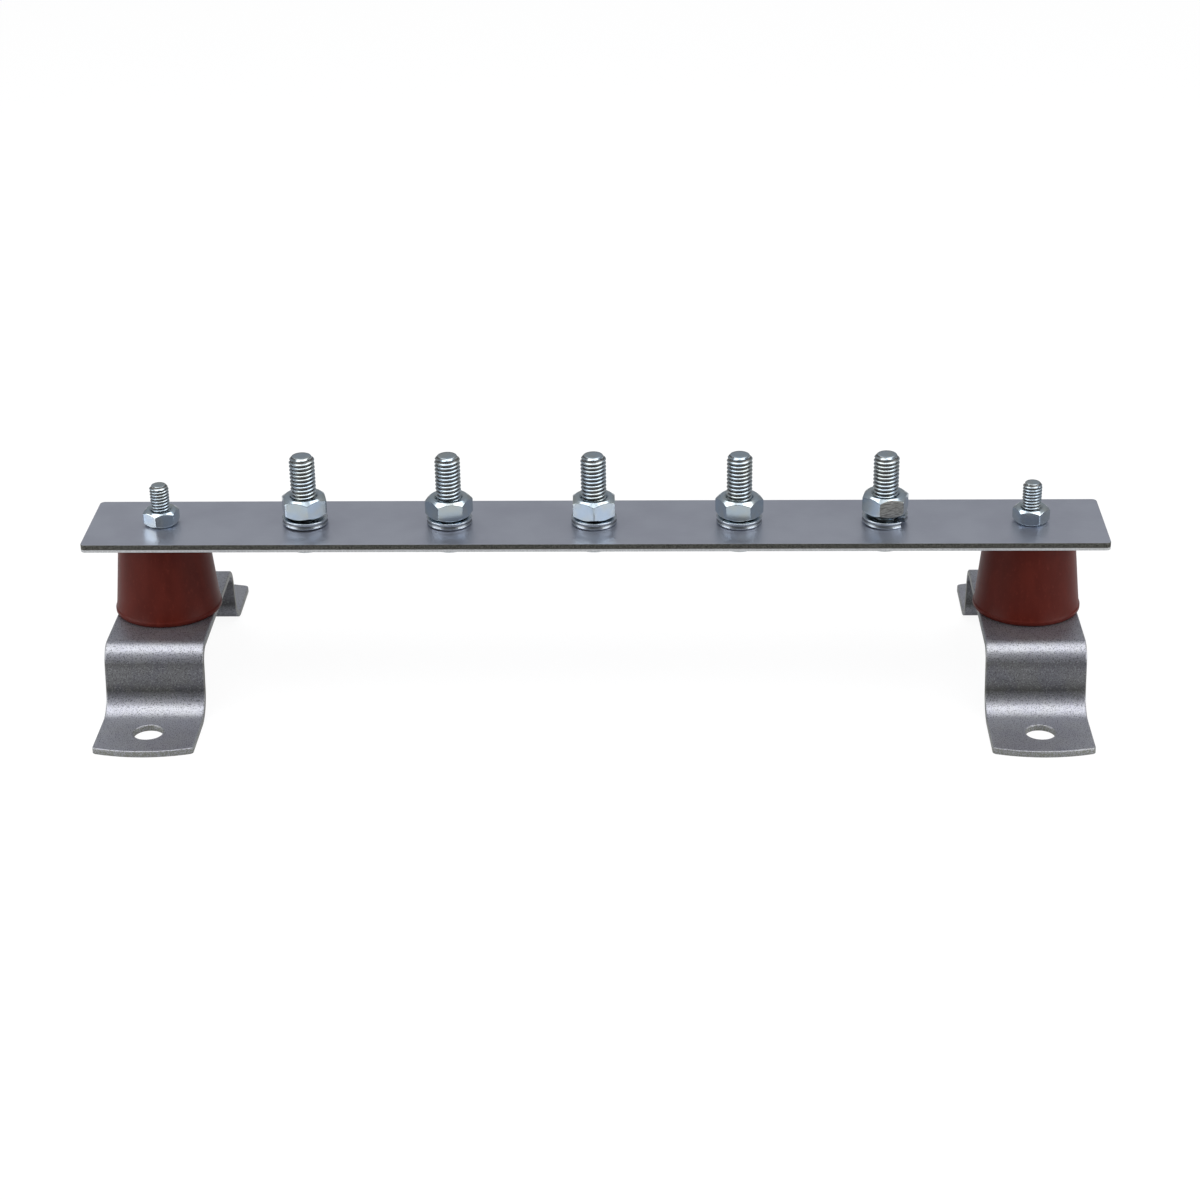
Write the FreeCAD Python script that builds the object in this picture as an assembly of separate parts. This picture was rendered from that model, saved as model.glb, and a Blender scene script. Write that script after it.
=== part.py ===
# Earth terminal bar.
# A flat metal bar with five screw terminals, carried on two cone-shaped insulators.
# Each insulator stands on a bent strip bracket with a fixing hole in each foot.
# Sizes are in millimetres: +X runs along the bar, +Y to the back and +Z up.
# The origin is midway between the brackets, at the level that the feet stand on.

import FreeCAD, Part
import math
import os

# Bar, with one hole for each terminal and one beyond them at each end for its insulator
terminal_count = 5
terminal_pitch = 45.0
bar_overhang = 22.5
bar_width = 34.0
bar_thickness = 2.5
bar_corner_radius = 1.5
bar_edge_radius = 0.3

# Every thread is plain here: it has its effective diameter where a nut or an insert holds it,
# and its outside diameter where it stands free, from a little above the nut
effective_diameter_factor = 0.6495
thread_fit = 0.05
free_thread_gap = 0.5

# Terminal screws, M8
terminal_thread = 8.0
terminal_thread_step = 1.25
terminal_thread_allowance = 0.15
terminal_hole_clearance = 1.0
terminal_bolt_length = 25.0
terminal_head_height = 5.3
terminal_nut_height = 6.5
terminal_across_flats = 13.0
terminal_tip_chamfer = 1.0

# How far each terminal's nut, head and split washer are turned, and how far the washer still stands open.
# A longer bar goes through them again.
nut_turns = (15.0, -21.0, 2.0, 26.0, -16.0)
head_turns = (14.0, 30.0, 8.0, 3.0, 30.0)
split_turns = (52.0, 118.0, 75.0, 96.0, -38.0)
washer_openings = (1.0, 0.4, 0.4, 0.3, 1.3)

# Split spring washers for the terminals
washer_thickness = 2.0
washer_section_width = 3.0
washer_hole_clearance = 0.2
washer_split_angle = 12.0

# Screws of the insulators, M6
support_thread = 6.0
support_thread_step = 1.0
support_thread_allowance = 0.1
support_hole_clearance = 1.0
support_across_flats = 10.0
support_nut_height = 5.0
support_nut_turns = (-8.0, 19.0)
support_tip_chamfer = 0.8
stud_projection = 13.0
stud_end_clearance = 0.5
bracket_screw_end_clearance = 2.0
bracket_screw_head_height = 4.0

# Shape of every hexagon nut and head
hexagon_face_share = 0.95
hexagon_chamfer_angle = 30.0
countersink_clearance = 0.3

# Insulators, moulded round an insert at each end
insulator_height = 26.0
insulator_top_diameter = 27.7
insulator_base_diameter = 32.5
insulator_rim_height = 1.6
insulator_rim_step = 0.35
insulator_edge_chamfer = 0.6
insert_spacing = 4.0
insert_wall = 1.5
insert_floor = 1.0
insert_waist_depth = 0.7
insert_waist_length = 3.0

# Brackets, bent from strip. Each bend's radius is that of its hollow side.
bracket_width = 30.6
bracket_thickness = 2.0
bracket_height = 22.0
platform_length = 60.0
web_spread = 3.4
foot_length = 26.6
shoulder_bend_radius = 4.5
foot_bend_radius = 7.5
foot_end_radius = 50.0
foot_corner_radius = 1.5
fixing_hole_diameter = 9.0
fixing_hole_from_end = 12.5

# Places that follow from the sizes above
support_spacing = (terminal_count + 1) * terminal_pitch
bar_length = support_spacing + 2 * bar_overhang
bar_bottom = bracket_height + insulator_height
bar_top = bar_bottom + bar_thickness
bracket_underside = bracket_height - bracket_thickness
foot_start = platform_length / 2 + web_spread
foot_end = foot_start + foot_length
fixing_hole_place = foot_end - fixing_hole_from_end
terminal_free_radius = (terminal_thread - terminal_thread_allowance) / 2
terminal_held_radius = (terminal_thread - effective_diameter_factor * terminal_thread_step) / 2
support_free_radius = (support_thread - support_thread_allowance) / 2
support_held_radius = (support_thread - effective_diameter_factor * support_thread_step) / 2
insert_length = (insulator_height - insert_spacing) / 2
insert_bore_depth = insert_length - insert_floor
insert_across_flats = support_thread + 2 * insert_wall
stud_engagement = insert_bore_depth - stud_end_clearance
bracket_screw_length = bracket_thickness + insert_bore_depth - bracket_screw_end_clearance

# More than any size of the part, for cutting tools that must reach right through
beyond = 2 * (bar_length + foot_end)

up = FreeCAD.Vector(0, 0, 1)
along = FreeCAD.Vector(1, 0, 0)
origin = FreeCAD.Vector(0, 0, 0)


def placed(shape, x, z, turn=0.0):
    copy = shape.copy()
    copy.rotate(origin, up, turn)
    copy.translate(FreeCAD.Vector(x, 0, z))
    return copy


def turned(outline):
    # Solid of revolution about Z from (radius, height) points
    points = [FreeCAD.Vector(radius, 0, height) for radius, height in outline]
    face = Part.Face(Part.makePolygon(points + points[:1]))
    return face.revolve(origin, up, 360)


def cylinder(radius, bottom, top):
    return Part.makeCylinder(radius, top - bottom, FreeCAD.Vector(0, 0, bottom))


def hexagon(across_flats, height):
    # Prism with a corner towards the front
    corner = across_flats / math.sqrt(3)
    points = []
    for step in range(7):
        angle = math.radians(60 * step - 90)
        points.append(FreeCAD.Vector(corner * math.cos(angle), corner * math.sin(angle), 0))
    return Part.Face(Part.makePolygon(points)).extrude(up * height)


def chamfered_hexagon(across_flats, height, lower, upper):
    # The corners are turned down to a cone at the ends that ask for it
    face_radius = hexagon_face_share * across_flats / 2
    corner = across_flats / math.sqrt(3)
    drop = (corner - face_radius) * math.tan(math.radians(hexagon_chamfer_angle))
    outline = [(0, 0), (face_radius if lower else corner, 0)]
    if lower:
        outline.append((corner, drop))
    if upper:
        outline.append((corner, height - drop))
    outline += [(face_radius if upper else corner, height), (0, height)]
    return hexagon(across_flats, height).common(turned(outline))


def threaded_bore(thread, held_radius, depth, both_ends):
    # Filler of a tapped hole that goes up from Z = 0, countersunk at its mouth or at both ends
    bore = held_radius + thread_fit
    mouth = thread / 2 + countersink_clearance
    sink = mouth - bore
    outline = [(0, 0), (mouth, 0), (bore, sink)]
    if both_ends:
        outline += [(bore, depth - sink), (mouth, depth), (0, depth)]
    else:
        outline += [(bore, depth), (0, depth)]
    return turned(outline)


def hexagon_nut(across_flats, height, thread, held_radius):
    nut = chamfered_hexagon(across_flats, height, True, True)
    return nut.cut(threaded_bore(thread, held_radius, height, True))


def shank(held_radius, free_radius, start, free_start, end, chamfer):
    # Held stretch from its start, then the free stretch with a chamfered tip
    return turned([(0, start), (held_radius, start), (held_radius, free_start), (free_radius, free_start),
                   (free_radius, end - chamfer), (free_radius - chamfer, end), (0, end)])


def head(across_flats, height):
    # Hangs below Z = 0
    return placed(chamfered_hexagon(across_flats, height, True, False), 0, -height)


def terminal_bolt(opening):
    # The shank starts within the head, which it is one piece with
    nut_top = bar_thickness + washer_thickness + opening + terminal_nut_height
    bolt_shank = shank(terminal_held_radius, terminal_free_radius, -terminal_head_height / 2,
                       nut_top + free_thread_gap, terminal_bolt_length, terminal_tip_chamfer)
    return head(terminal_across_flats, terminal_head_height).fuse(bolt_shank).removeSplitter()


def bar_stud():
    # Z = 0 is the underside of the bar
    nut_top = bar_thickness + support_nut_height
    end = bar_thickness + stud_projection
    return shank(support_held_radius, support_free_radius, -stud_engagement,
                 nut_top + free_thread_gap, end, support_tip_chamfer)


def bracket_screw():
    # Z = 0 is the underside of the bracket's platform
    start = -bracket_screw_head_height / 2
    end = bracket_screw_length
    radius = support_held_radius
    screw_shank = turned([(0, start), (radius, start), (radius, end - support_tip_chamfer),
                          (radius - support_tip_chamfer, end), (0, end)])
    return head(support_across_flats, bracket_screw_head_height).fuse(screw_shank).removeSplitter()


def spring_washer(opening):
    # One left-hand turn of square-cut bar that starts at the split and climbs by the opening
    inner = terminal_thread / 2 + washer_hole_clearance / 2
    outer = inner + washer_section_width
    turn = 1 - washer_split_angle / 360
    helix = Part.makeHelix(opening / turn, opening, (inner + outer) / 2, 0, True)
    corners = [(inner, 0), (outer, 0), (outer, washer_thickness), (inner, washer_thickness), (inner, 0)]
    section = Part.makePolygon([FreeCAD.Vector(radius, 0, height) for radius, height in corners])
    return Part.Wire(helix).makePipeShell([section], True, True)


def rounded_outline(corners):
    # Closed outline in the YZ plane from (y, z, radius) corners, with an arc at each radius
    edges = []
    ends = []
    for index, (y, z, radius) in enumerate(corners):
        corner = FreeCAD.Vector(0, y, z)
        before = FreeCAD.Vector(0, *corners[index - 1][:2]) - corner
        after = FreeCAD.Vector(0, *corners[(index + 1) % len(corners)][:2]) - corner
        before.normalize()
        after.normalize()
        if radius == 0:
            ends.append((corner, corner))
            continue
        half = before.getAngle(after) / 2
        reach = radius / math.tan(half)
        middle = (before + after).normalize() * (radius / math.sin(half) - radius)
        start = corner + before * reach
        end = corner + after * reach
        ends.append((start, end))
        edges.append(Part.Arc(start, corner + middle, end).toShape())
    for index in range(len(ends)):
        edges.append(Part.makeLine(ends[index - 1][1], ends[index][0]))
    return Part.Wire(Part.__sortEdges__(edges))


def bracket_side():
    # Corners of one half of the bent strip, as (y, z, radius): its top face, then its underside
    splay = math.degrees(math.atan(web_spread / bracket_underside))
    inset = bracket_thickness * math.tan(math.radians(45 - splay / 2))
    shoulder = platform_length / 2
    end = foot_end + bracket_thickness
    top = [(shoulder, bracket_height, shoulder_bend_radius + bracket_thickness),
           (foot_start, bracket_thickness, foot_bend_radius),
           (end, bracket_thickness, 0)]
    bottom = [(shoulder - inset, bracket_underside, shoulder_bend_radius),
              (foot_start - inset, 0, foot_bend_radius + bracket_thickness),
              (end, 0, 0)]
    return top, bottom


def strip_plan():
    # The flat strip seen from above: straight sides, curved ends and small corner radii
    half_width = bracket_width / 2
    sagitta = foot_end_radius - math.sqrt(foot_end_radius ** 2 - half_width ** 2)
    shoulder = foot_end - sagitta
    points = ((half_width, shoulder), (0, foot_end), (-half_width, shoulder))
    rear = [FreeCAD.Vector(x, y, 0) for x, y in points]
    front = [FreeCAD.Vector(-point.x, -point.y, 0) for point in rear]
    edges = [Part.Arc(*rear).toShape(), Part.makeLine(rear[2], front[0]),
             Part.Arc(*front).toShape(), Part.makeLine(front[2], rear[0])]
    prism = Part.Face(Part.Wire(edges)).extrude(up * beyond)
    upright = [edge for edge in prism.Edges if edge.BoundBox.ZLength > beyond / 2]
    prism = prism.makeFillet(foot_corner_radius, upright)
    prism.translate(up * (-beyond / 2))
    return prism


def bracket():
    top, bottom = bracket_side()
    mirror_top = [(-y, z, radius) for y, z, radius in top]
    mirror_bottom = [(-y, z, radius) for y, z, radius in bottom]
    outline = mirror_top[::-1] + top + bottom[::-1] + mirror_bottom
    strip = Part.Face(rounded_outline(outline)).extrude(along * bracket_width)
    strip.translate(along * (-bracket_width / 2))
    strip = strip.common(strip_plan())
    support_hole = cylinder((support_thread + support_hole_clearance) / 2, 0, beyond)
    strip = strip.cut(support_hole)
    for side in (-1, 1):
        hole = Part.makeCylinder(fixing_hole_diameter / 2, bracket_height,
                                 FreeCAD.Vector(0, side * fixing_hole_place, -bracket_height / 2))
        strip = strip.cut(hole)
    return strip


def insert_outside():
    # Hexagon with a waist, which the resin grips
    body = hexagon(insert_across_flats, insert_length)
    waist = insert_across_flats / 2 - insert_waist_depth
    lower = (insert_length - insert_waist_length) / 2
    upper = lower + insert_waist_length
    groove = cylinder(insert_across_flats, lower, upper).cut(cylinder(waist, lower, upper))
    return body.cut(groove)


def insert():
    # Stands with its open end at Z = 0 and its closed end above
    return insert_outside().cut(threaded_bore(support_thread, support_held_radius, insert_bore_depth, False))


def turned_over(shape):
    copy = shape.copy()
    copy.rotate(origin, along, 180)
    return copy


def insulator():
    # Stands on Z = 0, with the pockets that its inserts fill
    base_radius = insulator_base_diameter / 2
    rim_radius = base_radius + insulator_rim_step
    top_radius = insulator_top_diameter / 2
    body = turned([(0, 0), (rim_radius, 0), (rim_radius, insulator_rim_height),
                   (base_radius, insulator_rim_height + insulator_rim_step),
                   (top_radius, insulator_height - insulator_edge_chamfer),
                   (top_radius - insulator_edge_chamfer, insulator_height), (0, insulator_height)])
    body = body.cut(insert_outside())
    return body.cut(placed(turned_over(insert_outside()), 0, insulator_height))


def terminal_place(index):
    return (index - (terminal_count - 1) / 2) * terminal_pitch


def terminal_bar():
    blank = Part.makeBox(bar_length, bar_width, bar_thickness,
                         FreeCAD.Vector(-bar_length / 2, -bar_width / 2, bar_bottom))
    corners = [edge for edge in blank.Edges if edge.BoundBox.ZLength > bar_thickness / 2]
    blank = blank.makeFillet(bar_corner_radius, corners)
    rim = [edge for edge in blank.Edges if edge.BoundBox.ZMin > bar_top - bar_thickness / 2]
    blank = blank.makeFillet(bar_edge_radius, rim)
    for index in range(terminal_count):
        radius = (terminal_thread + terminal_hole_clearance) / 2
        blank = blank.cut(placed(cylinder(radius, 0, beyond), terminal_place(index), 0))
    for side in (-1, 1):
        radius = (support_thread + support_hole_clearance) / 2
        blank = blank.cut(placed(cylinder(radius, 0, beyond), side * support_spacing / 2, 0))
    return blank


def terminals():
    pieces = {}
    nut = hexagon_nut(terminal_across_flats, terminal_nut_height, terminal_thread, terminal_held_radius)
    for index in range(terminal_count):
        name = str(index + 1)
        x = terminal_place(index)
        choice = index % len(nut_turns)
        opening = washer_openings[choice]
        nut_seat = bar_top + washer_thickness + opening
        pieces["terminal_bolt_" + name] = placed(terminal_bolt(opening), x, bar_bottom, head_turns[choice])
        pieces["spring_washer_" + name] = placed(spring_washer(opening), x, bar_top, split_turns[choice])
        pieces["terminal_nut_" + name] = placed(nut, x, nut_seat, nut_turns[choice])
    return pieces


def support(name, x, nut_turn):
    pieces = {}
    nut = hexagon_nut(support_across_flats, support_nut_height, support_thread, support_held_radius)
    pieces["bracket_" + name] = placed(bracket(), x, 0)
    pieces["bracket_screw_" + name] = placed(bracket_screw(), x, bracket_underside)
    pieces["insulator_" + name] = placed(insulator(), x, bracket_height)
    pieces["lower_insert_" + name] = placed(insert(), x, bracket_height)
    pieces["upper_insert_" + name] = placed(turned_over(insert()), x, bar_bottom)
    pieces["bar_stud_" + name] = placed(bar_stud(), x, bar_bottom)
    pieces["bar_nut_" + name] = placed(nut, x, bar_top, nut_turn)
    return pieces


pieces = {"terminal_bar": terminal_bar()}
pieces.update(terminals())
pieces.update(support("left", -support_spacing / 2, support_nut_turns[0]))
pieces.update(support("right", support_spacing / 2, support_nut_turns[1]))

os.makedirs("parts", exist_ok=True)
for name, shape in pieces.items():
    shape.exportStep("parts/" + name + ".step")
    print(name, "solids", len(shape.Solids), "valid", shape.isValid(), "volume", round(shape.Volume, 2))
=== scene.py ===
import math

import bmesh
import bpy
from mathutils import Matrix, Vector


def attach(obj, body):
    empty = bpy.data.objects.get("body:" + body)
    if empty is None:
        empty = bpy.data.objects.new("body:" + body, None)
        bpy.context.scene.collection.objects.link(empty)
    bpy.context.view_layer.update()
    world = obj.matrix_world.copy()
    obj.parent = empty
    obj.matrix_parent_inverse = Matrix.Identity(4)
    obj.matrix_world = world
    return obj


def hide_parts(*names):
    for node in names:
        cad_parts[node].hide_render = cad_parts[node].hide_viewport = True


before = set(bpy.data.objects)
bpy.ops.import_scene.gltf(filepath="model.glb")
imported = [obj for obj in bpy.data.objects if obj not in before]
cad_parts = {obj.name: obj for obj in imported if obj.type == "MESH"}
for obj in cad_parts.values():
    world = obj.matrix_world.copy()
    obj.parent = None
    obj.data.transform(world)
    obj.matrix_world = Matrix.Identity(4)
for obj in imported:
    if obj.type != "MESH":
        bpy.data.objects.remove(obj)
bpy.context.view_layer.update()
mm = 0.001


# Brackets. Two hat-shaped feet of 30.6 x 2 mm galvanised strip, cropped to length with bowed
# ends, punched flat and then folded. The faces keep the fine speckle of the zinc, and the
# sheared edges are duller and torn.

strip_width = 30.6
strip_thickness = 2.0
strip_rolled_edge = 0.45
strip_burr = 0.15
sheet_crease = 35
shoulder_radius = 4.5
foot_radius = 7.5
fold_steps = 12
platform_height = 22.0
platform_half = 30.0
platform_row = 6.0
web_lean = 3.4
web_rows = (0.25, 0.5, 0.75)
foot_tip = 59.98
end_bow = 50.0
end_bow_steps = 18
end_trim = 0.8
end_corner = ((0.3, 0.15), (0.08, 0.5), (0.0, 1.1))
foot_hole = 4.5
foot_hole_place = 47.5
foot_hole_steps = 56
platform_hole = 3.5
platform_hole_steps = 40
# Painted shade on the web: how dark it is where the shoulder ends, and how far it fades up the
# shoulder and along the foot
shoulder_shade = 0.8
shoulder_fade = 1.8
hollow_fade = 3.5
supports = (("left", -135.0), ("right", 135.0))

zinc_greys = (0.365, 0.372, 0.420), (0.390, 0.398, 0.430)
# Dark greys of the painted shade on the web
web_shade_greys = (0.042, 0.042, 0.044), (0.055, 0.055, 0.046)
zinc_grain = (0.48, 0.49, 0.50)
zinc_flake = (0.075, 0.075, 0.078)
torn_zinc = (0.23, 0.235, 0.205)


class Socket:
    # A node's output that can be used in a Python expression. The node method makes any other
    # node: its settings come first, and then the values or links of its sockets.

    def __init__(self, tree, output=None):
        self.tree = tree
        self.output = output

    def node(self, kind, settings=None, inputs=None, output=0):
        made = self.tree.nodes.new(kind)
        for name, value in (settings or {}).items():
            if name == "stops":
                elements = made.color_ramp.elements
                while len(elements) < len(value):
                    elements.new(1.0)
                for element, (place, colour) in zip(elements, value):
                    element.position = place
                    element.color = (*colour, 1.0)
            elif name == "choices":
                while len(made.index_switch_items) < value:
                    made.index_switch_items.new()
            else:
                setattr(made, name, value)
        for name, value in (inputs or {}).items():
            if isinstance(value, Socket):
                self.tree.links.new(value.output, made.inputs[name])
            else:
                made.inputs[name].default_value = value
        return Socket(self.tree, made.outputs[output]) if made.outputs else None

    def math(self, operation, *values):
        return self.node("ShaderNodeMath", {"operation": operation}, dict(enumerate(values)))

    def __add__(self, other):
        return self.math("ADD", self, other)

    def __radd__(self, other):
        return self.math("ADD", other, self)

    def __sub__(self, other):
        return self.math("SUBTRACT", self, other)

    def __rsub__(self, other):
        return self.math("SUBTRACT", other, self)

    def __mul__(self, other):
        return self.math("MULTIPLY", self, other)

    def __rmul__(self, other):
        return self.math("MULTIPLY", other, self)

    def __truediv__(self, other):
        return self.math("DIVIDE", self, other)

    def between(self, low, high):
        # 0 up to low, 1 from high, with a soft rise between them
        return self.node("ShaderNodeMapRange", {"interpolation_type": "SMOOTHSTEP"},
                         {"Value": self, "From Min": low, "From Max": high})

    def blend(self, first, second):
        # Colour that is first where this is 0 and second where it is 1
        colours = {}
        for slot, value in ((6, first), (7, second)):
            colours[slot] = value if isinstance(value, Socket) else (*value, 1.0)
        return self.node("ShaderNodeMix", {"data_type": "RGBA", "clamp_factor": True},
                         {0: self, **colours}, output=2)

    def noise(self, grain, detail=2.0, roughness=0.5, stretch=(1.0, 1.0, 1.0)):
        # Noise on this vector, with patches about one grain across
        scaled = self.node("ShaderNodeVectorMath", {"operation": "MULTIPLY"}, {0: self, 1: stretch})
        return self.node("ShaderNodeTexNoise", {}, {"Vector": scaled, "Scale": 1 / grain,
                                                    "Detail": detail, "Roughness": roughness})

    def height(self):
        # The third part of a vector
        return self.node("ShaderNodeSeparateXYZ", {}, {0: self}, output=2)


def new_finish(name):
    # An empty material, with the Object coordinates that its pattern follows
    material = bpy.data.materials.new(name)
    material.use_nodes = True
    material.node_tree.nodes.clear()
    start = Socket(material.node_tree)
    return material, start, start.node("ShaderNodeTexCoord", output="Object")


def close_finish(start, surface, relief, depth):
    # The shader of a finish, with a relief of the given depth
    bump = start.node("ShaderNodeBump", {}, {"Height": relief, "Distance": depth, "Strength": 1.0})
    shader = start.node("ShaderNodeBsdfPrincipled", {}, {**surface, "Normal": bump})
    start.node("ShaderNodeOutputMaterial", {}, {"Surface": shader})


def marked(start, name):
    # A value that was stored on the mesh
    return start.node("ShaderNodeAttribute", {"attribute_name": name}, output="Fac")


galvanised, start, place = new_finish("galvanised_strip")
torn = marked(start, "sheared")
rubbed = marked(start, "rubbed")
clouds = place.noise(7 * mm, 3.0)
speckle = place.noise(0.5 * mm, 2.0, 0.6)
flakes = place.noise(0.34 * mm, 1.0, 0.5)
tone = clouds.between(0.35, 0.65).blend(*zinc_greys)
# Painted shade: the web is darkened towards the hollow of the lower fold and under the shoulder,
# and shows less speckle there
tone = (0.9 * rubbed).blend(tone, clouds.between(0.4, 0.6).blend(*web_shade_greys))
tone = ((0.5 - 0.32 * rubbed) * speckle.between(0.52, 0.64)).blend(tone, zinc_grain)
tone = (0.7 * flakes.between(0.53, 0.63)).blend(tone, zinc_flake)
tone = (torn * flakes.between(0.3, 0.6)).blend(tone, torn_zinc)
close_finish(start, {"Base Color": tone, "Metallic": 0.88,
                     "Roughness": 0.31 + 0.16 * speckle + 0.18 * torn},
             0.9 * speckle + 0.9 * flakes + 3.0 * torn * flakes, 0.018 * mm)


def shade(piece, angle):
    # Welds a piece's seams, turns its faces outwards and keeps edges sharper than the angle crisp
    seam, sliver = 0.0005 * mm, 0.0002 * mm
    work = bmesh.new()
    work.from_mesh(piece.data)
    bmesh.ops.remove_doubles(work, verts=work.verts, dist=seam)
    bmesh.ops.dissolve_degenerate(work, edges=work.edges, dist=sliver)
    bmesh.ops.recalc_face_normals(work, faces=work.faces)
    work.to_mesh(piece.data)
    work.free()
    piece.data.shade_smooth()
    piece.data.set_sharp_from_angle(angle=math.radians(angle))


def arc(centre, radius, first, last, steps):
    # Points on an arc, from the first angle to the last, in degrees
    points = []
    for step in range(steps + 1):
        angle = math.radians(first + (last - first) * step / steps)
        points.append((centre[0] + radius * math.cos(angle), centre[1] + radius * math.sin(angle)))
    return points


def inset(loop, distance):
    # The loop moved into the metal, which lies to its left, with its sharpest corners held back
    least_slant = 0.5
    moved = []
    for index, (x, y) in enumerate(loop):
        back = Vector(loop[index - 1])
        ahead = Vector(loop[(index + 1) % len(loop)])
        first = (Vector((x, y)) - back).normalized()
        second = (ahead - Vector((x, y))).normalized()
        normal = (Vector((-first.y, first.x)) + Vector((-second.y, second.x))).normalized()
        reach = distance / max(least_slant, normal.dot(Vector((-first.y, first.x))))
        moved.append((x + normal.x * reach, y + normal.y * reach))
    return moved


def plate(loops, rings):
    # Flat plate: its outline turns to the left and its holes to the right, and each ring is
    # (distance into the metal, height, how much it is sheared edge), from the underside up
    work = bmesh.new()
    sheared = work.verts.layers.float.new("sheared")
    caps = {0: [], len(rings) - 1: []}
    for loop in loops:
        levels = []
        for number, (distance, height, share) in enumerate(rings):
            level = []
            for x, y in inset(loop, distance):
                vertex = work.verts.new((x, y, height))
                vertex[sheared] = share
                level.append(vertex)
            if number in caps:
                caps[number] += [work.edges.new((level[i - 1], level[i]))
                                 for i in range(len(level))]
            levels.append(level)
        for lower, upper in zip(levels, levels[1:]):
            for i in range(len(lower)):
                work.faces.new((lower[i - 1], lower[i], upper[i], upper[i - 1]))
    for edges in caps.values():
        bmesh.ops.triangle_fill(work, use_beauty=True, use_dissolve=False, edges=edges)
    return work


def sheared_rings(thickness, rolled, burr):
    # The upper edge is rolled over by the blade, and the lower one is nearly sharp. A narrow
    # flat ring inside each keeps the shading of the flat faces even.
    flat_ring = 0.15
    foot = ((1.0, 0.0, 0.2), (0.3, 0.3, 0.8), (0.0, 1.0, 1.0))
    roll = ((0.0, 1.0, 1.0), (0.08, 0.6, 0.8), (0.3, 0.28, 0.5), (0.62, 0.07, 0.25),
            (1.0, 0.0, 0.0))
    rings = [(burr + flat_ring, 0.0, 0.0)]
    rings += [(inward * burr, up * burr, share) for inward, up, share in foot]
    rings += [(inward * rolled, thickness - down * rolled, share) for inward, down, share in roll]
    return rings + [(rolled + flat_ring, thickness, 0.0)]


def add_piece(work, name, finish, angle):
    # A finished mesh as an object at the origin
    mesh = bpy.data.meshes.new(name)
    work.to_mesh(mesh)
    work.free()
    mesh.materials.append(finish)
    piece = bpy.data.objects.new(name, mesh)
    bpy.context.scene.collection.objects.link(piece)
    shade(piece, angle)
    return piece


# The fold line runs down the middle of the strip: platform, fold, web, fold, foot
middle = strip_thickness / 2
shoulder_middle = shoulder_radius + middle
foot_middle = foot_radius + middle
web_drop = platform_height - strip_thickness
fold_angle = math.atan2(web_drop, web_lean)
upper_reach = (shoulder_radius + strip_thickness) * math.tan(fold_angle / 2)
lower_reach = foot_radius * math.tan(fold_angle / 2)
first_fold = platform_half - upper_reach
web_start = first_fold + shoulder_middle * fold_angle
second_fold = web_start + math.hypot(web_drop, web_lean) - upper_reach - lower_reach
foot_start = second_fold + foot_middle * fold_angle
foot_line = platform_half + web_lean + lower_reach
flat_tip = foot_start + foot_tip - foot_line


def folded(x, s, n):
    # Place of a point of the flat strip, s along it from the middle and n above its middle
    side = -1 if s < 0 else 1
    s = abs(s)
    if s < first_fold:
        y, z = s, platform_height - middle + n
    elif s < second_fold:
        # Round the shoulder, and then straight down the web
        turn = min((s - first_fold) / shoulder_middle, fold_angle)
        down = max(0.0, s - web_start)
        y = first_fold + (shoulder_middle + n) * math.sin(turn) + down * math.cos(fold_angle)
        z = platform_height - middle - shoulder_middle + (shoulder_middle + n) * math.cos(turn)
        z -= down * math.sin(fold_angle)
    elif s < foot_start:
        turn = fold_angle - (s - second_fold) / foot_middle
        y = foot_line - (foot_middle - n) * math.sin(turn)
        z = middle + foot_middle - (foot_middle - n) * math.cos(turn)
    else:
        y, z = foot_line + s - foot_start, middle + n
    return x, side * y, z


def strip_blank():
    # Outline and holes of the flat strip
    half = strip_width / 2
    bow = math.degrees(math.asin((half - end_trim) / end_bow))
    shoulder = flat_tip - end_bow + math.sqrt(end_bow ** 2 - half ** 2)
    far = arc((0, flat_tip - end_bow), end_bow, 90 - bow, 90 + bow, end_bow_steps)
    corner = [(half - across, shoulder - back) for across, back in end_corner]
    right = [(x, y) for x, y in reversed(corner)]
    left = [(-x, y) for x, y in corner]
    top = right + far + left
    outline = top + [(-x, -y) for x, y in top]
    holes = [arc((0, 0), platform_hole, 360, 0, platform_hole_steps)[:-1]]
    for side in (-1, 1):
        place = foot_start + foot_hole_place - foot_line
        holes.append(arc((0, side * place), foot_hole, 360, 0, foot_hole_steps)[:-1])
    return [outline] + holes


def web_shade(line):
    # How much painted shade darkens the web: most at the hollow of the lower fold, then at the
    # shoulder
    if line < web_start:
        return shoulder_shade * max(0.0, 1 - (web_start - line) / shoulder_fade)
    if line < second_fold:
        down = (line - web_start) / (second_fold - web_start)
        return shoulder_shade + (1 - shoulder_shade) * down - down * (1 - down)
    return max(0.0, 1 - (line - second_fold) / hollow_fade)


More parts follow.
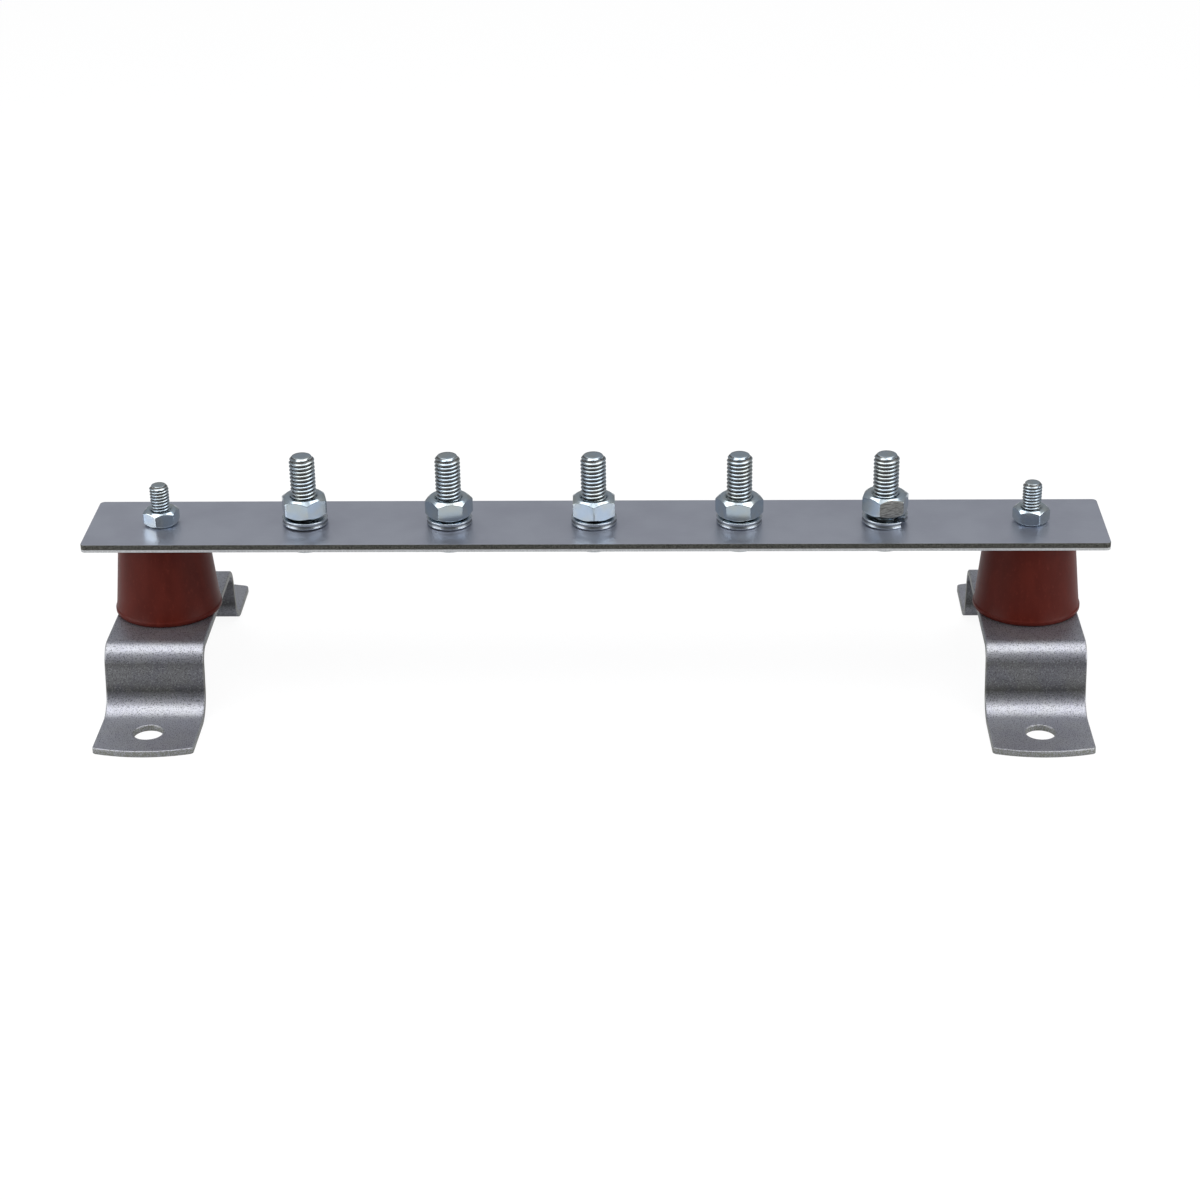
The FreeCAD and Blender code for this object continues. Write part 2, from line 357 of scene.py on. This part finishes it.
def bracket(side, x):
    # The flat blank gets rows of points across it where it bends, and then each point is folded
    work = plate(strip_blank(), sheared_rings(strip_thickness, strip_rolled_edge, strip_burr))
    web = second_fold - web_start
    lines = [platform_row] + [web_start + web * share for share in web_rows]
    for start_line, end_line in ((first_fold, web_start), (second_fold, foot_start)):
        lines += [start_line + (end_line - start_line) * step / fold_steps
                  for step in range(fold_steps + 1)]
    for line in [-value for value in lines] + lines:
        bmesh.ops.bisect_plane(work, geom=work.verts[:] + work.edges[:] + work.faces[:],
                               dist=1e-5, plane_co=(0, line, 0), plane_no=(0, 1, 0))
    # Each point takes the painted shade of its place along the strip
    rubbed = work.verts.layers.float.new("rubbed")
    for vertex in work.verts:
        vertex[rubbed] = web_shade(abs(vertex.co.y))
        vertex.co = Vector(folded(vertex.co.x + x, vertex.co.y, vertex.co.z - middle)) * mm
    piece = add_piece(work, "folded_bracket_" + side, galvanised, sheet_crease)
    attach(piece, "root")
    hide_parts("bracket_" + side)


for side, x in supports:
    bracket(side, x)


# Bracket screws. Each insulator is held down by an M6 hexagon screw that comes up through the
# platform of its bracket. Cold-headed steel with a rolled thread, bright zinc plated.

thread_segments = 48
thread_depth = 0.60

# The thread's profile: (share of the pitch along it, share of the depth above the root)
thread_profile = ((0.0, 0.0), (0.11, 0.02), (0.40, 0.93), (0.455, 1.0),
                  (0.545, 1.0), (0.60, 0.93), (0.89, 0.02), (1.0, 0.0))
run_out = 0.9
end_edge_in = 0.12
end_edge_down = 0.06
end_dish_halfway = 0.02
end_dish_middle = 0.05
screw_crease = 30

# Columns of one side of a hexagon, in degrees from the middle of its face. The first one
# stands on the rounded corner, and the shares are of half the width across flats.
hexagon_offsets = (-30.0, -28.4, -25.0, -13.0, 0.0, 13.0, 25.0, 28.4)
hexagon_corner_share = 1.1465
hexagon_face_share = 0.893
hexagon_cone = math.tan(math.radians(37))
broken_edge = 0.07
head_edge = 0.15
countersink_out = 0.55
countersink_deep = 0.5

# One face of the last nut is scuffed, inside an ellipsoid of this reach round this point
scuffed_face = (91.57, -6.31, 57.05)
scuffed_reach = (4.5, 0.5, 4.0)
scuffed_turn = 14

bright_blues = (0.45, 0.535, 0.605), (0.495, 0.54, 0.535)
zinc_stain = (0.40, 0.42, 0.43)
# Dark grey of the painted shade in the thread's valleys
valley_shade_grey = (0.13, 0.125, 0.115)
scuffed_greys = (0.10, 0.10, 0.094), (0.30, 0.304, 0.29)

bright_zinc, start, place = new_finish("bright_zinc")
valley_painted_shade = marked(start, "groove")
film = place.noise(5 * mm, 2.0)
wipes = place.noise(0.35 * mm, 3.0, 0.6, (1.0, 1.0, 4.0))
stains = place.noise(1.3 * mm, 4.0, 0.65)
scratches = place.noise(0.22 * mm, 3.0, 0.7, (0.15, 0.15, 1.0))
offset = place.node("ShaderNodeMapping", {"vector_type": "TEXTURE"},
                    {"Vector": place, "Location": tuple(value * mm for value in scuffed_face),
                     "Rotation": (0.0, 0.0, math.radians(scuffed_turn)),
                     "Scale": tuple(value * mm for value in scuffed_reach)})
reach = offset.node("ShaderNodeVectorMath", {"operation": "LENGTH"}, {0: offset}, output="Value")
scuffed = 1 - (reach + 0.25 * (stains - 0.5)).between(0.92, 1.04)
tone = film.between(0.35, 0.7).blend(*bright_blues)
tone = (0.3 * stains.between(0.6, 0.8)).blend(tone, zinc_stain)
# Painted shade darkens the thread's valleys
tone = (0.9 * valley_painted_shade.between(0.1, 0.8)).blend(tone, valley_shade_grey)
tone = scuffed.blend(tone, scratches.between(0.35, 0.65).blend(*scuffed_greys))
close_finish(start, {"Base Color": tone, "Metallic": 1.0,
                     "Roughness": 0.13 + 0.10 * stains + 0.2 * valley_painted_shade + 0.15 * scuffed},
             0.15 * wipes + 0.12 * stains + 2.0 * scuffed * scratches, 0.005 * mm)


def new_shape(name, sizes):
    # A geometry tree with a named input for each size
    tree = bpy.data.node_groups.new(name, "GeometryNodeTree")
    for label in sizes:
        tree.interface.new_socket(label, in_out="INPUT", socket_type="NodeSocketFloat")
    tree.interface.new_socket("Mesh", in_out="OUTPUT", socket_type="NodeSocketGeometry")
    start = Socket(tree)
    given = tree.nodes.new("NodeGroupInput")
    return start, {label: Socket(tree, given.outputs[label]) for label in sizes}


def pick(index, values):
    # The value whose number in the list is the index
    inputs = {number + 1: value for number, value in enumerate(values)}
    return index.node("GeometryNodeIndexSwitch", {"data_type": "FLOAT", "choices": len(values)},
                      {0: index, **inputs})


def skin(start, columns, rows, place, groove):
    # A sheet of columns x rows vertices, each put where place(column, row) says, in millimetres
    sheet = start.node("GeometryNodeMeshGrid", {}, {"Vertices X": columns, "Vertices Y": rows})
    index = start.node("GeometryNodeInputIndex")
    column = index.math("FLOOR", (index + 0.5) / rows)
    row = index - rows * column
    x, y, z = place(column, row)
    spot = start.node("ShaderNodeCombineXYZ", {}, {0: x * mm, 1: y * mm, 2: z * mm})
    moved = start.node("GeometryNodeSetPosition", {}, {"Geometry": sheet, "Position": spot})
    # Each row's share of painted shade is stored on the mesh
    depth = groove(row) if groove else 0.0
    return start.node("GeometryNodeStoreNamedAttribute", {"data_type": "FLOAT", "domain": "POINT"},
                      {"Geometry": moved, "Name": "groove", "Value": depth})


def join(start, parts):
    # All the parts as one geometry
    joined = start.tree.nodes.new("GeometryNodeJoinGeometry")
    for part in parts:
        start.tree.links.new(part.output, joined.inputs[0])
    return Socket(start.tree, joined.outputs[0])


def close_shape(start, parts, given, finish):
    # Welds the parts, turns and lifts them into place and gives them their finish
    weld = 0.002 * mm
    welded = start.node("GeometryNodeMergeByDistance", {},
                        {"Geometry": join(start, parts), "Distance": weld})
    turn = start.node("ShaderNodeCombineXYZ", {}, {2: given["Turn"] * math.radians(1)})
    lift = start.node("ShaderNodeCombineXYZ", {}, {0: given["Along"] * mm, 2: given["Seat"] * mm})
    set_down = start.node("GeometryNodeTransform", {},
                          {"Geometry": welded, "Rotation": turn, "Translation": lift})
    real = start.node("GeometryNodeRealizeInstances", {}, {"Geometry": set_down})
    finished = start.node("GeometryNodeSetMaterial", {}, {"Geometry": real, "Material": finish})
    start.node("NodeGroupOutput", {}, {"Mesh": finished})
    return start.tree


def made(tree, name, sizes, angle):
    # The tree's mesh for these sizes, as a plain object
    holder = bpy.data.objects.new(name, bpy.data.meshes.new(name + "_holder"))
    bpy.context.scene.collection.objects.link(holder)
    modifier = holder.modifiers.new("shape", "NODES")
    modifier.node_group = tree
    for item in tree.interface.items_tree:
        if item.item_type == "SOCKET" and item.in_out == "INPUT":
            modifier[item.identifier] = float(sizes[item.name])
    holder.update_tag()
    depsgraph = bpy.context.evaluated_depsgraph_get()
    mesh = bpy.data.meshes.new_from_object(holder.evaluated_get(depsgraph),
                                           preserve_all_data_layers=True, depsgraph=depsgraph)
    holder.modifiers.remove(modifier)
    holder.data = mesh
    mesh.name = name
    shade(holder, angle)
    return holder


def thread_skin(start, given):
    # A rolled right-hand thread as one long ribbon, turned down to a cone at both ends
    pitch = given["Pitch"]
    crest = given["Crest radius"]
    low = given["Bottom"]
    high = given["Top"] - end_edge_down
    root = crest - thread_depth * pitch
    turns = (high - low) / pitch + 2
    steps = [step for step, share in thread_profile]
    shares = [share for step, share in thread_profile]
    columns = (turns * thread_segments).math("CEIL", turns * thread_segments) + 1

    def place(column, row):
        angle = column * (2 * math.pi / thread_segments)
        rise = (column / thread_segments - 1 + pick(row, steps)) * pitch + low
        height = rise.math("MINIMUM", rise.math("MAXIMUM", rise, low), high)
        radius = root + (crest - root) * pick(row, shares)
        radius = radius.math("MINIMUM", radius, given["Tip radius"] + run_out * (high - height))
        radius = radius.math("MINIMUM", radius, given["Tip radius"] + run_out * (height - low))
        return radius * angle.math("COSINE", angle), radius * angle.math("SINE", angle), height

    # The valleys get the most painted shade and the crests none
    return skin(start, columns, len(thread_profile), place,
                lambda row: pick(row, [1 - share for share in shares]))


def turned_skin(start, rows, segments=thread_segments):
    # A turned surface through (radius, height) rows, which may hold sockets
    def place(column, row):
        angle = column * (2 * math.pi / segments)
        radius = pick(row, [radius for radius, height in rows])
        return (radius * angle.math("COSINE", angle), radius * angle.math("SINE", angle),
                pick(row, [height for radius, height in rows]))

    return skin(start, segments + 1, len(rows), place, None)


def hexagon_skin(start, given, bore):
    # Nut or head: its corners are turned down to a cone and every edge is broken a little.
    # One side of the hexagon takes eight columns, with one more on each rounded corner.
    flat = given["Across flats"] / 2
    face = flat * hexagon_face_share
    height = given["Height"]
    slope = broken_edge * hexagon_cone
    columns = len(hexagon_offsets)
    bored_rows, solid_rows = 13, 8
    shares = [1 / math.cos(math.radians(offset)) for offset in hexagon_offsets[1:]]

    def place(column, row):
        side = column.math("FLOOR", (column + 0.5) / columns)
        step = column - columns * side
        angle = (60 * (side - 1) + pick(step, hexagon_offsets)) * math.radians(1)
        corner = flat * pick(step, [hexagon_corner_share] + shares)
        drop = (corner - face) * hexagon_cone
        lower = [(face - broken_edge, 0.0), (face + broken_edge, slope),
                 (corner - broken_edge, drop - slope), (corner, drop + broken_edge)]
        if bore:
            hole = given["Bore radius"]
            mouth = hole + countersink_out
            rows = [(hole, countersink_deep), (mouth, 0.0)] + lower
            rows += [(corner, height - drop - broken_edge),
                     (corner - broken_edge, height - drop + slope),
                     (face + broken_edge, height - slope), (face - broken_edge, height),
                     (mouth, height), (hole, height - countersink_deep), (hole, countersink_deep)]
        else:
            rows = [(0.0, 0.0)] + lower
            rows += [(corner, height - head_edge), (corner - head_edge, height), (0.0, height)]
        radius = pick(row, [radius for radius, rise in rows])
        return (radius * angle.math("COSINE", angle), radius * angle.math("SINE", angle),
                pick(row, [rise for radius, rise in rows]))

    return skin(start, 6 * columns + 1, bored_rows if bore else solid_rows, place, None)


def end_caps(start, given):
    # The ends of a screw: the upper one a little dished, with a broken edge
    tip = given["Tip radius"]
    top = given["Top"]
    upper = [(tip, top - end_edge_down), (tip - end_edge_in, top),
             (tip * 0.5, top - end_dish_halfway), (0.0, top - end_dish_middle)]
    lower = [(tip, given["Bottom"]), (0.0, given["Bottom"])]
    return [turned_skin(start, upper), turned_skin(start, lower)]


def lifted(start, part, height):
    # The part moved up by the height
    offset = start.node("ShaderNodeCombineXYZ", {}, {2: height * mm})
    return start.node("GeometryNodeTransform", {}, {"Geometry": part, "Translation": offset})


start, given = new_shape("hexagon_screw", ("Pitch", "Crest radius", "Tip radius", "Bottom", "Top",
                                           "Across flats", "Height", "Turn", "Along", "Seat"))
parts = [thread_skin(start, given)] + end_caps(start, given)
parts.append(lifted(start, hexagon_skin(start, given, False), 0 - given["Height"]))
hexagon_screw = close_shape(start, parts, given, bright_zinc)

for side, x in supports:
    sizes = {"Pitch": 1.0, "Crest radius": 2.95, "Tip radius": 2.15, "Bottom": -1.5, "Top": 10.0,
             "Across flats": 10.0, "Height": 4.0, "Turn": 12.0, "Along": x,
             "Seat": platform_height - strip_thickness}
    piece = made(hexagon_screw, "platform_screw_" + side, sizes, screw_crease)
    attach(piece, "root")
    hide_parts("bracket_screw_" + side)


# Insulators. Cones of dark red-brown glass-filled resin, pressed hot round two tapped brass
# inserts. A narrow rim runs round the foot, where the mould parts.

resin_base = 16.25
resin_rim = 16.6
resin_rim_height = 1.6
resin_top = 13.85
resin_height = 26.0
resin_pocket = 5.3
resin_pocket_depth = 11.0
resin_segments = 128
resin_crease = 38

# Rounded edges, as (outward, upward) steps from the rim, the foot of the cone and its top. The
# straight cone lies between its start and its end, and resin_top is its radius at this depth.
rim_lower_edge = ((-0.55, 0.0), (-0.22, 0.16), (0.0, 0.5))
rim_upper_edge = ((0.0, -0.35), (-0.08, -0.12))
cone_foot = ((0.12, 0.02), (0.0, 0.25))
cone_edge = ((-0.07, -0.55), (-0.27, -0.26), (-0.53, -0.07), (-0.82, 0.0))
cone_start = 0.25
cone_end = 0.85
cone_rows = 5
resin_top_depth = 0.6

resin_reds = (0.070, 0.0080, 0.0043), (0.085, 0.0105, 0.0058)
resin_fibre = (0.13, 0.022, 0.014)
brass_yellows = (0.56, 0.40, 0.16), (0.62, 0.47, 0.21)

resin, start, place = new_finish("moulded_resin")
flow = place.noise(4 * mm, 3.0, 0.55, (1.0, 1.0, 0.35))
fibres = place.noise(0.8 * mm, 3.0, 0.6, (1.0, 1.0, 0.5))
pits = place.noise(0.3 * mm, 2.0)
tone = flow.between(0.3, 0.7).blend(*resin_reds)
tone = (0.35 * fibres.between(0.55, 0.75)).blend(tone, resin_fibre)
close_finish(start, {"Base Color": tone, "Roughness": 0.30 + 0.10 * flow + 0.08 * fibres,
                     "Specular IOR Level": 0.12}, 0.5 * pits + 0.8 * fibres, 0.006 * mm)

brass, start, place = new_finish("turned_brass")
turning = place.noise(0.12 * mm, 2.0, 0.5, (0.15, 0.15, 1.0))
tone = place.noise(2 * mm, 2.0).between(0.3, 0.7).blend(*brass_yellows)
close_finish(start, {"Base Color": tone, "Metallic": 1.0, "Roughness": 0.28 + 0.15 * turning},
             turning, 0.01 * mm)

start, given = new_shape("insulator", ("Turn", "Along", "Seat"))
lean = (resin_base - resin_top) / (resin_height - resin_rim_height - resin_top_depth)
cone_low = resin_rim_height + cone_start
cone_high = resin_height - cone_end
rows = [(resin_pocket, resin_pocket_depth), (resin_pocket, 0.0)]
rows += [(resin_rim + out, up) for out, up in rim_lower_edge]
rows += [(resin_rim + out, resin_rim_height + up) for out, up in rim_upper_edge]
rows += [(resin_base + out, resin_rim_height + up) for out, up in cone_foot]
for step in range(1, cone_rows + 1):
    height = cone_low + (cone_high - cone_low) * step / cone_rows
    rows.append((resin_base - lean * (height - resin_rim_height), height))
rows += [(resin_top + out, resin_height + up) for out, up in cone_edge]
rows += [(resin_pocket, resin_height), (resin_pocket, resin_height - resin_pocket_depth),
         (0.0, resin_height - resin_pocket_depth)]
floor_rows = [(resin_pocket, resin_pocket_depth), (0.0, resin_pocket_depth)]
parts = [turned_skin(start, part, resin_segments) for part in (rows, floor_rows)]
insulator = close_shape(start, parts, given, resin)

for side, x in supports:
    sizes = {"Turn": 0.0, "Along": x, "Seat": platform_height}
    piece = made(insulator, "moulded_insulator_" + side, sizes, resin_crease)
    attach(piece, "root")
    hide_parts("insulator_" + side)
    for end in ("lower", "upper"):
        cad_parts[end + "_insert_" + side].material_slots[0].material = brass


# Bar. Sheared from 34 x 2.5 mm flat steel, drilled on one pitch and dull zinc plated. The
# blade rolls the upper edge over and leaves a torn band above a smooth burnished one.

bar_length = 315.0
bar_width = 34.0
bar_thickness = 2.5
bar_bottom = 48.0
bar_corner = 1.5
bar_corner_steps = 8
bar_rolled_edge = 0.15
bar_burr = 0.12
terminal_count = 5
terminal_pitch = 45.0
terminal_hole = 4.5
terminal_hole_steps = 56
support_hole = 3.5
support_hole_steps = 48
burnished_end = 0.80
torn_start = 0.94
band_sway = 0.6

plate_greys = (0.475, 0.495, 0.572), (0.512, 0.537, 0.610)
plate_grain = (0.56, 0.582, 0.655)
burnished_greys = (0.44, 0.44, 0.40), (0.66, 0.67, 0.64)
torn_greys = (0.045, 0.045, 0.040), (0.13, 0.13, 0.118)

plated_bar, start, place = new_finish("plated_bar")
torn = marked(start, "sheared")
clouds = place.noise(14 * mm, 3.0)
grain = place.noise(0.5 * mm, 3.0, 0.6, (0.12, 1.0, 1.0))
stipple = place.noise(0.32 * mm, 3.0, 0.65, (1.0, 1.0, 0.5))
rise = place.height() - bar_bottom * mm + (stipple - 0.5) * (band_sway * mm)
broken_band = torn.between(0.15, 0.5) * rise.between(burnished_end * mm, torn_start * mm)
tone = clouds.between(0.3, 0.7).blend(*plate_greys)
tone = (0.4 * grain.between(0.45, 0.75)).blend(tone, plate_grain)
tone = (0.6 * torn).blend(tone, stipple.between(0.4, 0.6).blend(*burnished_greys))
tone = broken_band.blend(tone, stipple.between(0.35, 0.65).blend(*torn_greys))
close_finish(start, {"Base Color": tone, "Metallic": 0.96,
                     "Roughness": 0.27 + 0.10 * grain + 0.05 * clouds + 0.25 * broken_band},
             0.4 * stipple + 0.4 * grain + 3.0 * broken_band * stipple, 0.012 * mm)

corner_x = bar_length / 2 - bar_corner
corner_y = bar_width / 2 - bar_corner
outline = []
for x, y, first in ((corner_x, -corner_y, -90), (corner_x, corner_y, 0),
                    (-corner_x, corner_y, 90), (-corner_x, -corner_y, 180)):
    outline += arc((x, y), bar_corner, first, first + 90, bar_corner_steps)
loops = [outline]
terminals = [(index - terminal_count // 2) * terminal_pitch for index in range(terminal_count)]
for x in terminals:
    loops.append(arc((x, 0), terminal_hole, 360, 0, terminal_hole_steps)[:-1])
for side, x in supports:
    loops.append(arc((x, 0), support_hole, 360, 0, support_hole_steps)[:-1])
work = plate(loops, sheared_rings(bar_thickness, bar_rolled_edge, bar_burr))
for vertex in work.verts:
    vertex.co = (vertex.co + Vector((0, 0, bar_bottom))) * mm
bar = add_piece(work, "sheared_bar", plated_bar, sheet_crease)
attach(bar, "root")
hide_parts("terminal_bar")


# Insulator studs and their nuts. M6 studs screwed into the upper inserts, with one hexagon
# nut each pulling the bar down on its insulator. Bright zinc plated steel.

stud_nut_turns = (-8.0, 19.0)
stud_turn = 40.0
stud_crease = 38
nut_crease = 15

start, given = new_shape("stud", ("Pitch", "Crest radius", "Tip radius", "Bottom", "Top",
                                  "Turn", "Along", "Seat"))
parts = [thread_skin(start, given)] + end_caps(start, given)
stud = close_shape(start, parts, given, bright_zinc)

start, given = new_shape("hexagon_nut", ("Across flats", "Height", "Bore radius",
                                         "Turn", "Along", "Seat"))
hexagon_nut = close_shape(start, [hexagon_skin(start, given, True)], given, bright_zinc)

for (side, x), turn in zip(supports, stud_nut_turns):
    sizes = {"Pitch": 1.0, "Crest radius": 2.97, "Tip radius": 2.2, "Bottom": -9.5, "Top": 15.5,
             "Turn": stud_turn + turn, "Along": x, "Seat": bar_bottom}
    piece = made(stud, "threaded_stud_" + side, sizes, stud_crease)
    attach(piece, "root")
    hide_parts("bar_stud_" + side)
    sizes = {"Across flats": 10.0, "Height": 5.0, "Bore radius": 3.02, "Turn": turn, "Along": x,
             "Seat": bar_bottom + bar_thickness}
    piece = made(hexagon_nut, "stud_nut_" + side, sizes, nut_crease)
    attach(piece, "root")
    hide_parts("bar_nut_" + side)


# Terminals. M8 hexagon screws stand head down in the bar, with a split spring washer and a nut
# on each. The washers are cut from coiled square wire, and each one is pressed flat by a
# different amount. Everything is bright zinc plated.

nut_turns = (15.0, -21.0, 2.0, 26.0, -16.0)
head_turns = (14.0, 30.0, 8.0, 3.0, 30.0)
split_turns = (52.0, 118.0, 75.0, 96.0, -49.0)
openings = (1.0, 0.4, 0.4, 0.3, 1.3)
washer_inner = 4.1
washer_wire = 3.0
washer_thickness = 2.0
washer_corner = 0.26
washer_corner_steps = 4
washer_gap = 16.0
washer_steps = 80
washer_crease = 38

# Coiling draws the outer side in a little between its edges, by these (depth, height) rows.
# A dark band of painted shade lies there, darkest half way up.
washer_hollow = ((0.16, 0.66), (0.30, 1.0), (0.16, 1.34))
outer_side = 2.5
shade_most = 1.5
shade_fall = 2.2

steel_greys = (0.49, 0.54, 0.59), (0.38, 0.415, 0.44)
# Dark grey of the painted shade on the washers' outer side
washer_shade_grey = (0.07, 0.075, 0.08)

spring_steel, start, place = new_finish("spring_steel")
wear = place.noise(0.9 * mm, 3.0, 0.6)
drawn = place.noise(0.25 * mm, 2.0, 0.5, (0.3, 0.3, 1.6))
washer_painted_shade = marked(start, "groove")
tone = wear.between(0.4, 0.75).blend(*steel_greys)
# Painted shade darkens the drawn-in middle of the outer side
tone = (0.85 * washer_painted_shade).blend(tone, washer_shade_grey)
close_finish(start, {"Base Color": tone, "Metallic": 1.0,
                     "Roughness": 0.16 + 0.12 * wear + 0.2 * washer_painted_shade},
             0.6 * drawn + 0.6 * wear, 0.005 * mm)


def washer_skin(start, given):
    # One left-hand turn of square wire with rounded edges, closed at both cut ends
    corner, last = washer_corner, washer_steps
    outer = washer_wire - corner
    upper = washer_thickness - corner
    section = []
    for across, up, first in ((outer, corner, -90), (outer, upper, 0),
                              (corner, upper, 90), (corner, corner, 180)):
        section += arc((across, up), corner, first, first + 90, washer_corner_steps)
        if first == -90:
            section += [(washer_wire - depth, height) for depth, height in washer_hollow]
    section.append(section[0])

    def place(column, row):
        # The first and the last column are the middles of the cut ends
        share = column.math("MINIMUM", column.math("MAXIMUM", column - 1, 0.0), last) / last
        closed = (column.math("COMPARE", column, 0.0, 0.1)
                  + column.math("COMPARE", column, last + 2.0, 0.1))
        angle = (given["Split"] - share * (360 - washer_gap)) * math.radians(1)
        across = pick(row, [point[0] for point in section])
        rise = pick(row, [point[1] for point in section])
        across = across + closed * (washer_wire / 2 - across)
        rise = rise + closed * (washer_thickness / 2 - rise) + share * given["Opening"]
        radius = across + washer_inner
        return radius * angle.math("COSINE", angle), radius * angle.math("SINE", angle), rise

    # Rows on the outer side take painted shade, most of all half way up
    shade_rows = []
    for across, rise in section:
        washer_painted_shade = shade_most - shade_fall * abs(rise - washer_thickness / 2)
        shade_rows.append(max(0.0, min(1.0, washer_painted_shade)) if across > outer_side else 0.0)
    return skin(start, last + 3, len(section), place, lambda row: pick(row, shade_rows))


start, given = new_shape("split_washer", ("Opening", "Split", "Turn", "Along", "Seat"))
split_washer = close_shape(start, [washer_skin(start, given)], given, spring_steel)

for index, x in enumerate(terminals):
    number = str(index + 1)
    sizes = {"Pitch": 1.25, "Crest radius": 3.96, "Tip radius": 2.95, "Bottom": -2.0, "Top": 25.0,
             "Across flats": 13.0, "Height": 5.3, "Turn": head_turns[index], "Along": x,
             "Seat": bar_bottom}
    screw = made(hexagon_screw, "threaded_bolt_" + number, sizes, screw_crease)
    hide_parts("terminal_bolt_" + number)
    sizes = {"Opening": openings[index], "Split": split_turns[index], "Turn": 0.0, "Along": x,
             "Seat": bar_bottom + bar_thickness}
    washer = made(split_washer, "coiled_washer_" + number, sizes, washer_crease)
    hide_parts("spring_washer_" + number)
    sizes = {"Across flats": 13.0, "Height": 6.5, "Bore radius": 4.02, "Turn": nut_turns[index],
             "Along": x, "Seat": bar_bottom + bar_thickness + washer_thickness + openings[index]}
    nut = made(hexagon_nut, "faced_nut_" + number, sizes, nut_crease)
    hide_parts("terminal_nut_" + number)
    for piece, finish in ((screw, "bright_zinc"), (washer, "spring_steel"), (nut, "bright_zinc")):
        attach(piece, "root")


# Studio. A plain white floor under a broad soft light, a paler sky behind and a darker one in
# front, as the photograph's metal shows them.

floor_half = 3.0
floor_squares = 8
floor_drop = 0.1
floor_crease = 30
floor_whites = (0.63, 0.63, 0.63), (0.65, 0.65, 0.65)
floor_glow = 1.1
glow_seen = 0.83
glow_mirrored = 0.03

# The two skies, as (height, colour) stops
sky_behind = ((0.0, (0.26, 0.26, 0.27)), (0.43, (0.36, 0.37, 0.385)),
              (0.8, (0.50, 0.51, 0.53)), (1.0, (0.9, 0.9, 0.9)))
sky_in_front = ((0.0, (0.17, 0.17, 0.16)), (0.25, (0.14, 0.14, 0.15)),
                (0.65, (0.20, 0.20, 0.22)), (0.9, (0.8, 0.8, 0.82)))

white_floor, start, place = new_finish("white_floor")
light_path = start.node("ShaderNodeLightPath", output="Is Camera Ray")
glossy_path = start.node("ShaderNodeLightPath", output="Is Glossy Ray")
cloudy = place.noise(0.2, 2.0).blend(*floor_whites)
matt = start.node("ShaderNodeBsdfDiffuse", {}, {"Color": cloudy})
glow = start.node("ShaderNodeEmission", {}, {"Color": (1.0, 1.0, 1.0, 1.0),
                                             "Strength": floor_glow})
glowing = glow_seen * light_path + glow_mirrored * glossy_path
seen = start.node("ShaderNodeMixShader", {}, {0: glowing, 1: matt, 2: glow})
start.node("ShaderNodeOutputMaterial", {}, {"Surface": seen})
work = bmesh.new()
bmesh.ops.create_grid(work, x_segments=floor_squares, y_segments=floor_squares, size=floor_half,
                      matrix=Matrix.Translation((0, 0, -floor_drop * mm)))
floor = add_piece(work, "floor", white_floor, floor_crease)

world = bpy.data.worlds.new("studio")
bpy.context.scene.world = world
world.use_nodes = True
world.node_tree.nodes.clear()
start = Socket(world.node_tree)
direction = start.node("ShaderNodeTexCoord", output="Generated")
across = start.node("ShaderNodeSeparateXYZ", {}, {0: direction}, output=1)
upward = start.node("ShaderNodeSeparateXYZ", {}, {0: direction}, output=2)
behind = across.between(-0.2, 0.5)
paler = upward.node("ShaderNodeValToRGB", {"stops": sky_behind}, {0: upward})
darker = upward.node("ShaderNodeValToRGB", {"stops": sky_in_front}, {0: upward})
around = behind.blend(darker, paler)
camera_ray = start.node("ShaderNodeLightPath", output="Is Camera Ray")
lit = camera_ray.blend(around, (1.0, 1.0, 1.0))
background = start.node("ShaderNodeBackground", {}, {"Color": lit, "Strength": 1.0})
start.node("ShaderNodeOutputWorld", {}, {"Surface": background})


def softbox(name, spot, target, size, power):
    # A rectangular area lamp that faces its target
    lamp = bpy.data.lights.new(name, "AREA")
    lamp.shape = "RECTANGLE"
    lamp.size, lamp.size_y = size
    lamp.energy = power
    holder = bpy.data.objects.new(name, lamp)
    bpy.context.scene.collection.objects.link(holder)
    holder.location = spot
    holder.rotation_euler = (Vector(target) - Vector(spot)).to_track_quat("-Z", "Y").to_euler()


for side, sign in (("left", -1), ("right", 1)):
    softbox("overhead_" + side, spot=(0.53 * sign, -0.06, 1.1), target=(0.53 * sign, -0.06, 0.0),
            size=(0.56, 1.24), power=4.9)
    softbox("low_" + side, spot=(0.52 * sign, -0.2, 0.17), target=(0.1 * sign, 0.0, 0.03),
            size=(0.5, 0.2), power=1.3)
softbox("overhead_middle", spot=(0.0, -0.34, 1.1), target=(0.0, -0.34, 0.0),
        size=(0.5, 0.36), power=1.35)

# The camera stands where the photograph's did
focal_pixels = 2672.2
picture_pixels = 1200
eye = Vector((27.2, -760.1, 384.0)) * mm
yaw, pitch, roll = 0.033903, 0.442483, 0.016233
ahead = Vector((-math.sin(yaw) * math.cos(pitch), math.cos(yaw) * math.cos(pitch),
                -math.sin(pitch)))
right = Vector((math.cos(yaw), math.sin(yaw), 0.0))
down = ahead.cross(right)
picture_right = right * math.cos(roll) + down * math.sin(roll)
picture_down = down * math.cos(roll) - right * math.sin(roll)
lens = bpy.data.cameras.new("camera")
lens.sensor_width = 36.0
lens.lens = lens.sensor_width * focal_pixels / picture_pixels
lens.clip_start = 0.01
camera = bpy.data.objects.new("camera", lens)
bpy.context.scene.collection.objects.link(camera)
facing = Matrix((picture_right, -picture_down, -ahead)).transposed().to_4x4()
camera.matrix_world = Matrix.Translation(eye) @ facing
bpy.context.scene.camera = camera
bpy.context.scene.view_settings.view_transform = "Standard"
